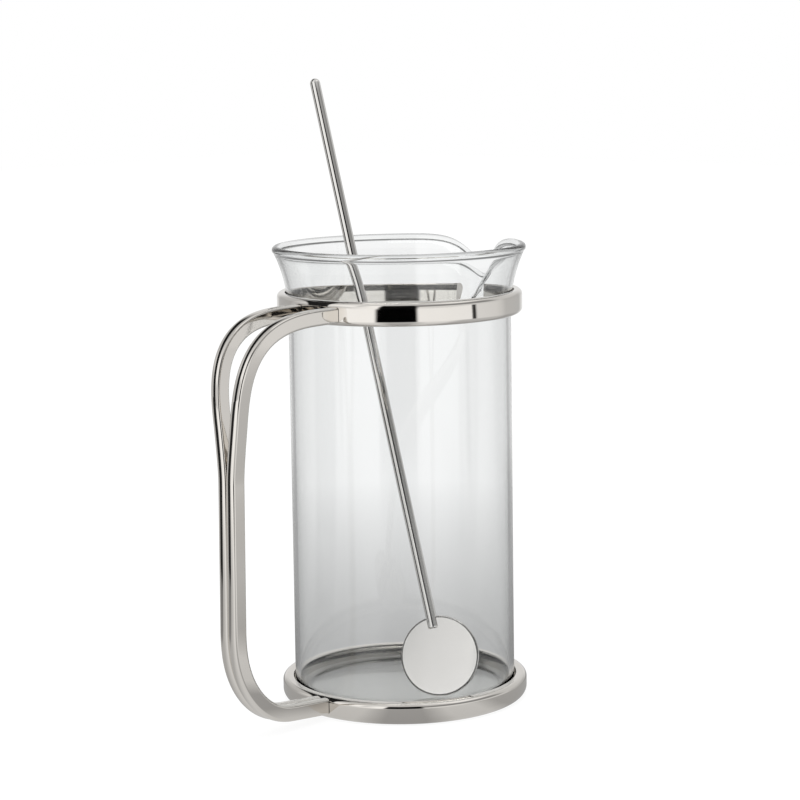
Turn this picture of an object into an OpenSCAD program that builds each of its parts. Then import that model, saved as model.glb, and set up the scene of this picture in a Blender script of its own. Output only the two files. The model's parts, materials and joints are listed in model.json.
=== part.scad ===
// Glass pouring pitcher in a polished metal frame, with a long stirrer standing in it.
// The frame's axis is Z, its foot rests on Z = 0, the handle is at -X and the spout at +X.

/* [Glass beaker] */
// outside diameter of the straight glass body
beaker_d = 107; // [90:1:130]
// height of the beaker from its underside to the top of its rim
beaker_h = 219; // [190:1:260]
// thickness of the glass wall
beaker_wall = 2.2; // [1.6:0.1:3]
// thickness of the glass floor
beaker_floor = 4; // [2.5:0.5:7]
// radius of the outer bottom corner
beaker_corner_r = 7.5; // [4:0.5:12]
// radius of the inner bottom corner
beaker_inner_corner_r = 5.5; // [5:0.5:16]
// thickness of the round bead along the rim
bead_d = 3.9; // [3.4:0.1:5]
// how far the centre of the bead stands outside the middle of the wall
flare_out = 6.5; // [3:0.5:9]
// height over which the wall flares out to the rim
flare_h = 31.6; // [26:0.2:36]
// how much thicker the flared wall is just below the bead
flare_swell = 1.3; // [0:0.1:1.5]

/* [Spout] */
// how far the spout's lip is below the rim
spout_drop = 15.6; // [8:0.2:18]
// how far the spout's lip stands out past the rim
spout_out = 6; // [3:0.5:8]
// how far above the start of the flare the underside of the spout leaves the wall
spout_root = 4.5; // [3:0.5:7]
// half width of the spout where it leaves the wall
spout_root_w = 3.3; // [2.5:0.1:4]
// half width of the spout at the rim
spout_rim_w = 9.2; // [6:0.2:11]

/* [Foot and collar] */
// thickness of the foot ring, from its inner to its outer face
foot_wall = 5.35; // [5:0.05:12]
// height of the foot ring
foot_h = 10.5; // [8:0.5:16]
// thickness of the round plate that closes the foot ring
plate_t = 1.5; // [1:0.1:2.5]
// thickness of the collar, from its inner to its outer face
collar_wall = 4.02; // [3.3:0.02:12]
// height of the collar
collar_h = 11.3; // [8:0.1:14]
// how far the collar's upper edge is above the start of the glass's flare
collar_rise = 11.55; // [8:0.05:14]
// width of the collar's opening under the spout
collar_gap = 19.4; // [17:0.2:24]
// radius of the collar's outer edges and of the foot ring's upper outer edge
band_edge_r = 2.5; // [1:0.1:3]
// radius of the foot ring's lower outer edge
foot_low_edge_r = 4.2; // [2:0.1:4.5]
// radius of the inner edges of the foot ring and the collar
band_inner_edge_r = 0.7; // [0.3:0.1:1]
// space all round between the glass body and the foot ring
foot_play = 0.7; // [0.4:0.1:1.5]
// space all round between the flared glass and the top of the collar
collar_play = 0.5; // [0.3:0.1:1]

/* [Handle] */
// width of one handle bar
bar_w = 5.3; // [4:0.1:6]
// depth of one handle bar, square to its width
bar_d = 7.9; // [6:0.1:9]
// radius of the long edges of a handle bar
bar_edge_r = 0.8; // [0.4:0.1:1.9]
// how far the outer and the inner face of a handle bar swell between their edges
bar_crown = 0.6; // [0.1:0.1:1]
// distance from the glass body to the middle of the grip at its lower end
grip_gap_low = 61.6; // [50:0.1:76]
// distance from the glass body to the middle of the grip at its upper end
grip_gap_top = 60.3; // [50:0.1:76]
// how far in the lower bend reaches
low_bend_in = 33.3; // [25:0.1:45]
// how far up the lower bend reaches
low_bend_up = 45.5; // [30:0.5:60]
// roundness of the lower bend: 2 is an ellipse and more is squarer
low_bend_power = 2.23; // [2:0.01:3]
// how far in the upper bend reaches
top_bend_in = 48.5; // [35:0.5:52]
// how far down the upper bend reaches
top_bend_down = 45.7; // [30:0.1:60]
// roundness of the upper bend: 2 is an ellipse and more is squarer
top_bend_power = 2.9; // [2:0.05:3.5]
// height of the bars' middle where they meet the foot ring
bar_low_z = 5.9; // [4.5:0.1:8]
// how much the lower run of the bars rises on its way out, as a share of its length
low_rise_share = 0.09; // [0:0.01:0.15]
// height of the bars' middle above the collar's lower edge
bar_top_up = 5; // [4:0.1:7.2]
// height at which the two bars begin to part
split_z = 120.5; // [100:0.5:145]
// distance from the middle plane to the middle of a bar at the collar
bar_spread = 11.4; // [8:0.1:14]
// how early the two bars part: more is earlier
spread_early = 1.54; // [0.5:0.01:1.6]
// how softly the two bars begin to part: more is softer
spread_ease = 0.04; // [0.01:0.01:0.1]
// space between a bar's end and the ring it is soldered to
solder_gap = 0.05; // [0.02:0.01:0.1]

/* [Stirrer] */
// diameter of the stirrer's rod
rod_d = 5.2; // [3:0.1:6]
// distance from the disc's centre to the rod's tip
rod_l = 297.8; // [250:0.1:330]
// diameter of the stirrer's disc
disc_d = 38.4; // [26:0.2:42]
// thickness of the disc
disc_t = 1.8; // [1.2:0.1:2.2]
// how far the slotted end of the rod reaches over the disc
rod_lap = 6; // [4:0.1:9]
// space between the disc and each side of the rod's slot
slot_play = 0.02; // [0.01:0.01:0.1]
// direction in which the stirrer leans, from +X towards +Y
lean_azimuth = 72.1; // [60:0.1:85]
// distance of the stirrer's leaning plane from the axis, to the right of its lean
lean_offset = 2.3; // [0:0.1:6]
// how far in from the wall of the glass the foot of the stirrer stands
foot_in = 14.4; // [13.3:0.1:31]
// turn of the disc about the rod, from square to its lean
disc_turn = -46; // [-60:1:45]
// space between the stirrer and the glass where it leans and stands
stirrer_play = 0.3; // [0.3:0.1:0.6]

/* [Hidden] */
$fn = 96;

beaker_r = beaker_d / 2;
bead_r = bead_d / 2;
mid_r = beaker_r - beaker_wall / 2;
beaker_z = plate_t;
rim_z = beaker_z + beaker_h - bead_r;
flare_z = rim_z - flare_h;
rim_r = mid_r + flare_out;
inside_z = beaker_z + beaker_floor;

// outer radius of the glass at a height on its flare
flare_share_at_collar = collar_rise / flare_h;
collar_z = flare_z + collar_rise - collar_h;
bar_top_z = collar_z + bar_top_up;
collar_in_r = mid_r + flare_out * pow(flare_share_at_collar, 2) + beaker_wall / 2
    + flare_swell / 2 * pow(flare_share_at_collar, 4) + collar_play;
collar_r = collar_in_r + collar_wall;
foot_in_r = beaker_r + foot_play;
foot_r = foot_in_r + foot_wall;
grip_reach_low = beaker_r + grip_gap_low;
grip_reach_top = beaker_r + grip_gap_top;
gap_angle = asin(collar_gap / (collar_r + collar_in_r));

// share of the spout's own shape in the flare at an angle from the spout's middle
spout_power = 1.35;
spout_tip_share = 0.12;
spout_side_angle = 30;
spout_root_side = 0.95 * gap_angle;
function soft(angle) = sqrt(pow(angle, 2) + pow(spout_tip_share * width_angle(1), 2))
    - spout_tip_share * width_angle(1);
function width_angle(u) = (spout_root_w + (spout_rim_w - spout_root_w) * pow(u, 1.5))
    / rim_r * 180 / PI;
function spout_bell(angle, u) = exp(-pow(soft(angle) / width_angle(u), spout_power));
// the spout keeps within the collar's opening up to the collar's upper edge, and widens above it
function side_angle(u) = spout_root_side + (spout_side_angle - spout_root_side)
    * max(0, u - flare_share_at_collar) / (1 - flare_share_at_collar);
function spout_share(angle, u) = abs(angle) >= side_angle(u) ? 0
    : (spout_bell(angle, u) - spout_bell(side_angle(u), u))
        / (1 - spout_bell(side_angle(u), u));

// middle of the flared wall away from the spout, and in the spout's own middle plane
lip_r = rim_r + spout_out;
lip_z = rim_z - spout_drop;
throat_share = 0.95;
function plain_wall(u) = [mid_r + flare_out * pow(u, 2), flare_z + flare_h * u];
function spout_wall(u) = pow(1 - u, 3) * [mid_r, flare_z]
    + 3 * pow(1 - u, 2) * u * [mid_r, flare_z + spout_root]
    + 3 * (1 - u) * pow(u, 2) * [mid_r + throat_share * (lip_r - mid_r), flare_z + spout_root]
    + pow(u, 3) * [lip_r, lip_z];
function wall_point(angle, u) = plain_wall(u)
    + spout_share(angle, u) * (spout_wall(u) - plain_wall(u));
small_share = 0.01;
function wall_slope(angle, u) = let (
        step = wall_point(angle, u + small_share) - wall_point(angle, u - small_share)
    ) u <= 0 ? [0, 1] : step / norm(step);
function half_wall(u) = (beaker_wall + flare_swell * pow(u, 4)) / 2;

wall_steps = 9;
bead_steps = 9;
corner_turns = 5;
wall_end_share = 0.95;
bead_open_angle = asin((beaker_wall + flare_swell) / bead_d);
function side_point(angle, u, side) = let (slope = wall_slope(angle, u))
    wall_point(angle, u) + side * half_wall(u) * [slope[1], -slope[0]];
function bead_point(angle, turn) = let (slope = wall_slope(angle, 1))
    wall_point(angle, 1) + bead_r * (-cos(turn) * slope + sin(turn) * [slope[1], -slope[0]]);
function rim_profile(angle) = concat(
    [for (i = [0 : wall_steps]) side_point(angle, wall_end_share * i / wall_steps, 1)],
    [for (i = [0 : bead_steps])
        bead_point(angle, bead_open_angle + (360 - 2 * bead_open_angle) * i / bead_steps)],
    [for (i = [wall_steps : -1 : 0]) side_point(angle, wall_end_share * i / wall_steps, -1)]
);

// handle bars: the middle line of the right bar, as distance out, distance from the middle plane, height
low_steps = 22;
grip_steps = 8;
top_steps = 26;
low_end_r = foot_in_r + foot_play;
top_end_r = collar_in_r + collar_play;
low_fade = low_bend_up * 2 / 3;
function low_bend(turn) = let (
        r = grip_reach_low - low_bend_in + low_bend_in * pow(sin(turn), 2 / low_bend_power),
        z = bar_low_z + low_bend_up - low_bend_up * pow(cos(turn), 2 / low_bend_power)
    ) [r, z + low_rise_share * (r - low_end_r) * exp(-pow((z - bar_low_z) / low_fade, 2))];
function top_bend(turn) = [
    grip_reach_top - top_bend_in + top_bend_in * pow(cos(turn), 2 / top_bend_power),
    bar_top_z - top_bend_down + top_bend_down * pow(sin(turn), 2 / top_bend_power)];
low_start = low_bend(0);
low_stop = low_bend(90);
top_start = top_bend(0);
top_stop = top_bend(90);
bar_line = concat(
    [[low_end_r, bar_low_z], (low_start + [low_end_r, bar_low_z]) / 2],
    [for (i = [0 : low_steps]) low_bend(90 * i / low_steps)],
    [for (i = [1 : grip_steps - 1]) low_stop + (top_start - low_stop) * i / grip_steps],
    [for (i = [0 : top_steps]) top_bend(90 * i / top_steps)],
    [[(top_stop[0] + top_end_r) / 2, bar_top_z], [top_end_r, bar_top_z]]
);
bar_last = len(bar_line) - 1;
function length_to(i) = i == 0 ? 0 : norm(bar_line[i] - bar_line[i - 1]) + length_to(i - 1);
bar_lengths = [for (i = [0 : bar_last]) length_to(i)];
split_share = (split_z - low_stop[1]) / (top_start[1] - low_stop[1]);
split_length = bar_lengths[low_steps + 2]
    + split_share * (bar_lengths[low_steps + 2 + grip_steps] - bar_lengths[low_steps + 2]);
function spread_at(i) = let (
        share = max(0, (bar_lengths[i] - split_length) / (bar_lengths[bar_last] - split_length)),
        u = share * share * (1 + spread_ease) / (share + spread_ease)
    ) bar_w / 2 + (bar_spread - bar_w / 2) * pow(u, 1.3) * (1 + spread_early * (1 - u));
bar_path = [for (i = [0 : bar_last]) [bar_line[i][0], spread_at(i), bar_line[i][1]]];
function path_dir(i) = let (
        step = bar_path[min(i + 1, bar_last)] - bar_path[max(i - 1, 0)]
    ) step / norm(step);
function out_dir(i) = let (d = path_dir(i)) [d[2], 0, -d[0]] / norm([d[2], d[0]]);
corner_steps = 3;
crown_steps = 5;
face_x = bar_d / 2 - bar_crown;
face_half = bar_w / 2 - bar_edge_r;
function corner_points(q) = [for (k = [0 : corner_steps]) let (a = 90 * q + 90 * k / corner_steps)
    [(q == 0 || q == 3 ? 1 : -1) * (face_x - bar_edge_r) + bar_edge_r * cos(a),
     (q < 2 ? 1 : -1) * face_half + bar_edge_r * sin(a)]];
function face_points(side) = [for (k = [1 : crown_steps - 1])
    side * [face_x, face_half * (2 * k / crown_steps - 1)]];
function crowned(p) = [p[0] + sign(p[0]) * bar_crown * (1 - pow(2 * p[1] / bar_w, 2)), p[1]];
bar_section = [for (p = concat(corner_points(0), corner_points(1), face_points(-1),
    corner_points(2), corner_points(3), face_points(1))) crowned(p)];
section_n = len(bar_section);

// stirrer: its lean follows from where it stands and from the rim it leans on
disc_r = disc_d / 2;
rod_r = rod_d / 2;
disc_edge = disc_t / 3;
lean_rim = sqrt(pow(rim_r, 2) - pow(lean_offset, 2));
foot_back = beaker_r - beaker_wall - foot_in;
lean_run = lean_rim + foot_back;
function tilt_over(rise) = atan2(lean_run, rise)
    - asin((bead_r + rod_r + stirrer_play) / norm([lean_run, rise]));
// a disc turned about the rod reaches lower than the end of its diameter along the rod
near_tilt = tilt_over(rim_z - inside_z - stirrer_play - disc_edge);
face_lean = cos(disc_turn) * sin(near_tilt);
foot_point_z = inside_z + stirrer_play + disc_edge - disc_r * cos(near_tilt)
    + (disc_r - disc_edge) * sqrt(1 - pow(face_lean, 2)) + (disc_t / 2 - disc_edge) * abs(face_lean);
lean_tilt = tilt_over(rim_z - foot_point_z);

// quarter disc that rounds an outer edge, above its centre or below it
module edge_round(edge, above) {
    intersection() {
        circle(edge);
        translate([0, above ? 0 : -edge])
            square(edge);
    }
}

// section of a band with rounded edges, from its inner to its outer radius
module band_section(in_r, out_r, h, low_edge) {
    edge = band_edge_r;
    in_edge = band_inner_edge_r;
    wide_edge = max(edge, low_edge);
    translate([in_r + in_edge, 0])
        square([out_r - wide_edge - in_r - in_edge, h]);
    translate([in_r, in_edge])
        square([in_edge, h - 2 * in_edge]);
    if (low_edge > edge)
        translate([out_r - wide_edge, low_edge])
            square([wide_edge - edge, h - low_edge]);
    translate([out_r - edge, low_edge])
        square([edge, h - edge - low_edge]);
    translate([out_r - low_edge, low_edge])
        edge_round(low_edge, false);
    translate([out_r - edge, h - edge])
        edge_round(edge, true);
    for (z = [in_edge, h - in_edge])
        translate([in_r + in_edge, z])
            circle(in_edge);
}

// everything a bar's end stops against: a band filled to the axis
module band_inside(out_r, h, low_edge, grow) {
    edge = band_edge_r + grow;
    low = low_edge + grow;
    rotate_extrude($fn = 180) {
        translate([0, -grow])
            square([out_r + grow - max(edge, low), h + 2 * grow]);
        translate([0, low_edge])
            square([out_r - band_edge_r, h + grow - low_edge]);
        translate([0, low_edge])
            square([out_r + grow, h - band_edge_r - low_edge]);
        translate([out_r - low_edge, low_edge])
            edge_round(low, false);
        translate([out_r - band_edge_r, h - band_edge_r])
            edge_round(edge, true);
    }
}

module foot_ring() {
    color([0.78, 0.75, 0.71])
        rotate_extrude($fn = 180)
            band_section(foot_in_r, foot_r, foot_h, foot_low_edge_r);
}

module foot_plate() {
    color([0.7, 0.68, 0.65])
        cylinder(h = plate_t, r = foot_in_r - slot_play, $fn = 180);
}

module collar() {
    color([0.78, 0.75, 0.71])
        translate([0, 0, collar_z])
            rotate([0, 0, gap_angle])
                rotate_extrude(angle = 360 - 2 * gap_angle, $fn = 180)
                    band_section(collar_in_r, collar_r, collar_h, band_edge_r);
}

// side is -1 for the right bar, at -Y, and 1 for the left bar
module handle_bar(side) {
    points = [for (i = [0 : bar_last]) let (
            out = out_dir(i),
            across = cross(path_dir(i), out)
        ) each [for (p = bar_section) let (
            q = bar_path[i] + p[0] * out + p[1] * across
        ) [-q[0], side * q[1], q[2]]]];
    wound = side > 0;
    sides = [for (i = [0 : bar_last - 1], k = [0 : section_n - 1]) let (
            a = i * section_n + k,
            b = i * section_n + (k + 1) % section_n
        ) each [
            wound ? [a, b, b + section_n] : [b, a, b + section_n],
            wound ? [a, b + section_n, a + section_n] : [b + section_n, a, a + section_n]
        ]];
    low_cap = [for (k = [0 : section_n - 1]) k];
    top_cap = [for (k = [0 : section_n - 1]) bar_last * section_n + k];
    low_back = [for (k = [section_n - 1 : -1 : 0]) k];
    top_back = [for (k = [section_n - 1 : -1 : 0]) bar_last * section_n + k];
    caps = wound ? [low_back, top_cap] : [low_cap, top_back];
    color([0.8, 0.77, 0.73])
        difference() {
            polyhedron(points = points, faces = concat(sides, caps));
            band_inside(foot_r, foot_h, foot_low_edge_r, solder_gap);
            translate([0, 0, collar_z])
                band_inside(collar_r, collar_h, band_edge_r, solder_gap);
        }
}

// whole section of the glass at an angle from the spout, from the underside round to the floor
function pot_profile(angle) = concat(
    [for (i = [0 : corner_turns]) let (a = 90 * i / corner_turns)
        [beaker_r - beaker_corner_r + beaker_corner_r * sin(a),
         beaker_z + beaker_corner_r - beaker_corner_r * cos(a)]],
    rim_profile(angle),
    [for (i = [corner_turns : -1 : 0]) let (a = 90 * i / corner_turns)
        [beaker_r - beaker_wall - beaker_inner_corner_r + beaker_inner_corner_r * sin(a),
         inside_z + beaker_inner_corner_r - beaker_inner_corner_r * cos(a)]]
);

// angles of the sections: close together across the spout and even round the rest
spout_steps = 14;
round_steps = 60;
pot_angles = concat(
    [for (i = [-spout_steps : spout_steps])
        spout_side_angle * sign(i) * pow(abs(i) / spout_steps, 1.5)],
    [for (i = [1 : round_steps - 1])
        spout_side_angle + (360 - 2 * spout_side_angle) * i / round_steps]
);

module glass_beaker() {
    loops = [for (a = pot_angles) pot_profile(a)];
    loop_n = len(loops[0]);
    pot_n = len(pot_angles);
    below = pot_n * loop_n;
    above = below + 1;
    points = concat(
        [for (j = [0 : pot_n - 1]) each [for (p = loops[j])
            [p[0] * cos(pot_angles[j]), p[0] * sin(pot_angles[j]), p[1]]]],
        [[0, 0, beaker_z], [0, 0, inside_z]]
    );
    sides = [for (j = [0 : pot_n - 1], k = [0 : loop_n - 2]) let (
            a = j * loop_n + k,
            b = (j + 1) % pot_n * loop_n + k
        ) each [[a, a + 1, b + 1], [a, b + 1, b]]];
    fans = [for (j = [0 : pot_n - 1]) let (
            a = j * loop_n,
            b = (j + 1) % pot_n * loop_n
        ) each [[below, a, b], [above, b + loop_n - 1, a + loop_n - 1]]];
    color([0.85, 0.9, 0.9, 0.35])
        polyhedron(points = points, faces = concat(sides, fans));
}

// places a stirrer piece that is drawn standing on Z with its disc in the YZ plane
module as_it_leans() {
    rotate([0, 0, lean_azimuth])
        translate([-foot_back, -lean_offset, foot_point_z])
            rotate([0, lean_tilt, 0])
                rotate([0, 0, disc_turn])
                    translate([0, 0, disc_r])
                        children();
}

module stirrer_rod() {
    color([0.8, 0.78, 0.75])
        as_it_leans()
            difference() {
                union() {
                    translate([0, 0, disc_r - rod_lap])
                        cylinder(h = rod_l - disc_r + rod_lap - rod_r, r = rod_r, $fn = 48);
                    translate([0, 0, rod_l - rod_r])
                        sphere(r = rod_r, $fn = 48);
                }
                rotate([0, 90, 0])
                    cylinder(h = disc_t + 2 * slot_play, r = disc_r + slot_play, center = true, $fn = 120);
            }
}

module stirrer_disc() {
    color([0.86, 0.84, 0.81])
        as_it_leans()
            rotate([0, 90, 0])
                translate([0, 0, -disc_t / 2])
                    rotate_extrude($fn = 120) {
                        square([disc_r - disc_edge, disc_t]);
                        translate([0, disc_edge])
                            square([disc_r, disc_t - 2 * disc_edge]);
                        for (z = [disc_edge, disc_t - disc_edge])
                            translate([disc_r - disc_edge, z])
                                circle(disc_edge, $fn = 32);
                    }
}

foot_ring();
foot_plate();
collar();
handle_bar(-1);  // handle_bar_right
handle_bar(1);  // handle_bar_left
glass_beaker();
stirrer_rod();
stirrer_disc();
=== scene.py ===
"""Glass pouring pitcher in a polished nickel frame, with a long stirrer standing in it, on a white sweep."""

import json
import math

import bmesh
import bpy
import numpy as np
from mathutils import Matrix, Vector

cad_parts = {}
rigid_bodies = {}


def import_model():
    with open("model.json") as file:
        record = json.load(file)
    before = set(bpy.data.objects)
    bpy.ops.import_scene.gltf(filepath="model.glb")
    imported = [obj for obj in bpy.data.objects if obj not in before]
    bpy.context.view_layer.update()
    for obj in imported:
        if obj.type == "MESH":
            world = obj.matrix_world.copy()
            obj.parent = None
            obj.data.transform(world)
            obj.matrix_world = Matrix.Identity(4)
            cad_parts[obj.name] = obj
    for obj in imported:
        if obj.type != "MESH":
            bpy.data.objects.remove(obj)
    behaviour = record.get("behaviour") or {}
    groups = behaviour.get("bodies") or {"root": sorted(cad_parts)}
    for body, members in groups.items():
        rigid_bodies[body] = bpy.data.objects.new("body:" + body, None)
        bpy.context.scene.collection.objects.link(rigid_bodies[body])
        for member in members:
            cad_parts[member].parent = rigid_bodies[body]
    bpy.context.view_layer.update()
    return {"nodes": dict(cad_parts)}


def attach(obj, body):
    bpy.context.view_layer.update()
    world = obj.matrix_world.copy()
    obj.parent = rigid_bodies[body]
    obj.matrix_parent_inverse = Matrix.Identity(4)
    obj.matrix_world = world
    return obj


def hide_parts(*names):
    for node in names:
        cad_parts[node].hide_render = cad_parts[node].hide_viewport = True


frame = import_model()

MM = 0.001
scene = bpy.context.scene
scene.view_settings.view_transform = "Standard"

# sizes of the part in millimetres, from those in its source, with radii where it gives diameters; the gap
# under the glass, AIR_GAP, and the visible seam at the bars' ends, SEAM, are the scene's own
BEAKER_R = 53.5
WALL = 2.2
FLOOR = 4.0
BEAKER_Z = 1.5
BEAKER_H = 219.0
CORNER_R = 7.5
INNER_CORNER_R = 5.5
BEAD_R = 1.95
FLARE_OUT = 6.5
FLARE_H = 31.6
FLARE_SWELL = 1.3
RIM_Z = BEAKER_Z + BEAKER_H - BEAD_R
MID_R = BEAKER_R - WALL / 2
FLARE_Z = RIM_Z - FLARE_H
RIM_R = MID_R + FLARE_OUT
INSIDE_Z = BEAKER_Z + FLOOR
AIR_GAP = 0.06
SPOUT_DROP = 15.6
SPOUT_OUT = 6.0
SPOUT_ROOT = 4.5
SPOUT_ROOT_W = 3.3
SPOUT_RIM_W = 9.2
SPOUT_SIDE = 30.0
SPOUT_POWER = 1.35
FOOT_R = 59.55
FOOT_PLAY = 0.7
FOOT_IN_R = BEAKER_R + FOOT_PLAY
FOOT_H = 10.5
COLLAR_R = 58.9
COLLAR_Z = 187.2
COLLAR_H = 11.3
COLLAR_GAP = 19.4
COLLAR_PLAY = 0.5
BAND_EDGE = 2.5
BAND_IN_EDGE = 0.7
FOOT_LOW_EDGE = 4.2
SEAM = 0.28
BAR_W = 5.3
BAR_D = 7.9
BAR_EDGE = 0.8
BAR_CROWN = 0.6
ROD_R = 2.6
ROD_L = 297.8
DISC_R = 19.2
DISC_T = 1.8
ROD_LAP = 6.0

COLLAR_SHARE = (COLLAR_Z + COLLAR_H - FLARE_Z) / FLARE_H
COLLAR_IN_R = (MID_R + FLARE_OUT * COLLAR_SHARE ** 2 + WALL / 2
               + FLARE_SWELL / 2 * COLLAR_SHARE ** 4 + COLLAR_PLAY)
GAP_ANGLE = math.degrees(math.asin(COLLAR_GAP / (COLLAR_R + COLLAR_IN_R)))


# materials

def new_material(name):
    """A material with an empty node tree: the material, its tree and the tree's output node."""
    mat = bpy.data.materials.new(name)
    mat.use_nodes = True
    tree = mat.node_tree
    tree.nodes.clear()
    out = tree.nodes.new("ShaderNodeOutputMaterial")
    return mat, tree, out


def feed(tree, socket, value):
    """Sets a socket from a value, or links it to another node's socket."""
    if isinstance(value, bpy.types.NodeSocket):
        tree.links.new(value, socket)
    else:
        socket.default_value = value


def put(tree, kind, **inputs):
    """A node of that kind, with its inputs set by name, from a value or from another node's socket."""
    node = tree.nodes.new(kind)
    for key, value in inputs.items():
        feed(tree, node.inputs[key.replace("_", " ")], value)
    return node


def worked_out(tree, kind, operation, *values):
    """A Math or Vector Math node set to an operation, with its inputs in their order."""
    node = tree.nodes.new(kind)
    node.operation = operation
    for socket, value in zip(node.inputs, values):
        feed(tree, socket, value)
    return node


def mixed(tree, share, first, second, way="MIX"):
    """Two colours mixed by a share. Each is four numbers or another node's socket."""
    node = tree.nodes.new("ShaderNodeMix")
    node.data_type = "RGBA"
    node.blend_type = way
    for key, value in (("Factor", share), ("A", first), ("B", second)):
        feed(tree, node.inputs[key], value)
    return node.outputs["Result"]


def mixed_shaders(tree, share, first, second):
    """A shader that is the first where share is 0 and the second where it is 1."""
    node = tree.nodes.new("ShaderNodeMixShader")
    for socket, value in zip(node.inputs, (share, first, second)):
        tree.links.new(value, socket)
    return node.outputs[0]


def ramp(tree, fac, stops):
    """A colour ramp read at fac. stops are (place, grey or colour)."""
    node = tree.nodes.new("ShaderNodeValToRGB")
    tree.links.new(fac, node.inputs["Fac"])
    ends = node.color_ramp.elements
    while len(ends) < len(stops):
        ends.new(0.5)
    for element, (place, tone) in zip(ends, stops):
        element.position = place
        element.color = (tone, tone, tone, 1) if isinstance(tone, float) else (*tone, 1)
    return node.outputs["Color"]


POLISH_ROUGHNESS = (0.03, 0.06)
POLISH_MARKS = 0.012


def polished_nickel(name, tint=(0.83, 0.80, 0.76), shade=(0.78, 0.745, 0.695)):
    """Nickel plate: warm, bright, with faint polishing marks and slow drifts of tone."""
    mat, tree, out = new_material(name)
    coords = put(tree, "ShaderNodeTexCoord").outputs["Object"]
    drift = put(tree, "ShaderNodeTexNoise", Vector=coords, Scale=38.0, Detail=3.0, Roughness=0.55)
    marks = put(tree, "ShaderNodeTexNoise", Vector=coords, Scale=900.0, Detail=4.0, Roughness=0.7)
    tone = mixed(tree, drift.outputs["Fac"], (*tint, 1), (*shade, 1))
    gloss = put(tree, "ShaderNodeMapRange", Value=drift.outputs["Fac"], From_Min=0.3, From_Max=0.7,
                To_Min=POLISH_ROUGHNESS[0], To_Max=POLISH_ROUGHNESS[1])
    bump = put(tree, "ShaderNodeBump", Height=marks.outputs["Fac"], Strength=POLISH_MARKS, Distance=0.0002)
    shader = put(tree, "ShaderNodeBsdfPrincipled", Base_Color=tone, Metallic=1.0,
                 Roughness=gloss.outputs["Result"], Normal=bump.outputs["Normal"])
    tree.links.new(shader.outputs["BSDF"], out.inputs["Surface"])
    return mat


def clear_glass(name):
    """Drawn glass: clear, with a faint cool cast in its depth and slow ripples from the drawing."""
    mat, tree, out = new_material(name)
    coords = put(tree, "ShaderNodeTexCoord").outputs["Object"]
    stretch = put(tree, "ShaderNodeMapping", Vector=coords, Scale=(1.0, 1.0, 0.25)).outputs["Vector"]
    ripple = put(tree, "ShaderNodeTexNoise", Vector=stretch, Scale=60.0, Detail=1.5, Roughness=0.4)
    bump = put(tree, "ShaderNodeBump", Height=ripple.outputs["Fac"], Strength=0.05, Distance=0.0006)
    tone = ramp(tree, ripple.outputs["Fac"], [(0.3, (0.992, 0.996, 0.996)), (0.7, (0.984, 0.990, 0.990))])
    shader = put(tree, "ShaderNodeBsdfPrincipled", Base_Color=tone, Roughness=0.0, IOR=1.47,
                 Normal=bump.outputs["Normal"], Transmission_Weight=1.0)
    tree.links.new(shader.outputs["BSDF"], out.inputs["Surface"])
    depth = put(tree, "ShaderNodeVolumeAbsorption", Density=10.0, Color=(0.0, 0.05, 0.03, 1))
    tree.links.new(depth.outputs[0], out.inputs["Volume"])
    return mat


def satin_plate(name):
    """The frame's bottom plate: nickel left with the rings of its turning."""
    mat, tree, out = new_material(name)
    coords = put(tree, "ShaderNodeTexCoord").outputs["Object"]
    rings = put(tree, "ShaderNodeTexWave", Vector=coords, Scale=420.0, Distortion=1.2, Detail=2.0)
    rings.wave_type = "RINGS"
    rings.rings_direction = "Z"
    drift = put(tree, "ShaderNodeTexNoise", Vector=coords, Scale=25.0, Detail=3.0)
    tone = ramp(tree, drift.outputs["Fac"], [(0.3, (0.90, 0.89, 0.86)), (0.7, (0.95, 0.94, 0.91))])
    bump = put(tree, "ShaderNodeBump", Height=rings.outputs["Fac"], Strength=0.08, Distance=0.0001)
    shader = put(tree, "ShaderNodeBsdfPrincipled", Base_Color=tone, Metallic=1.0, Roughness=0.38,
                 Normal=bump.outputs["Normal"])
    tree.links.new(shader.outputs["BSDF"], out.inputs["Surface"])
    return mat


nickel = polished_nickel("polished_nickel")
stirrer_nickel = polished_nickel("stirrer_nickel", tint=(0.86, 0.845, 0.82), shade=(0.82, 0.80, 0.77))
disc_nickel = polished_nickel("disc_nickel", tint=(0.86, 0.84, 0.82), shade=(0.80, 0.78, 0.75))
glass = clear_glass("clear_glass")
plate_metal = satin_plate("satin_plate")


# makers shared by the pieces

def solid(name, points, faces, material):
    """A mesh object from points in millimetres, placed in its mesh."""
    mesh = bpy.data.meshes.new(name)
    mesh.from_pydata([tuple(p * MM for p in q) for q in points], [], faces)
    mesh.materials.append(material)
    mesh.validate()
    made = bmesh.new()
    made.from_mesh(mesh)
    bmesh.ops.recalc_face_normals(made, faces=made.faces)
    made.to_mesh(mesh)
    made.free()
    mesh.polygons.foreach_set("use_smooth", [True] * len(mesh.polygons))
    piece = bpy.data.objects.new(name, mesh)
    scene.collection.objects.link(piece)
    return piece


MERGE_DISTANCE = 1e-7


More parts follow.
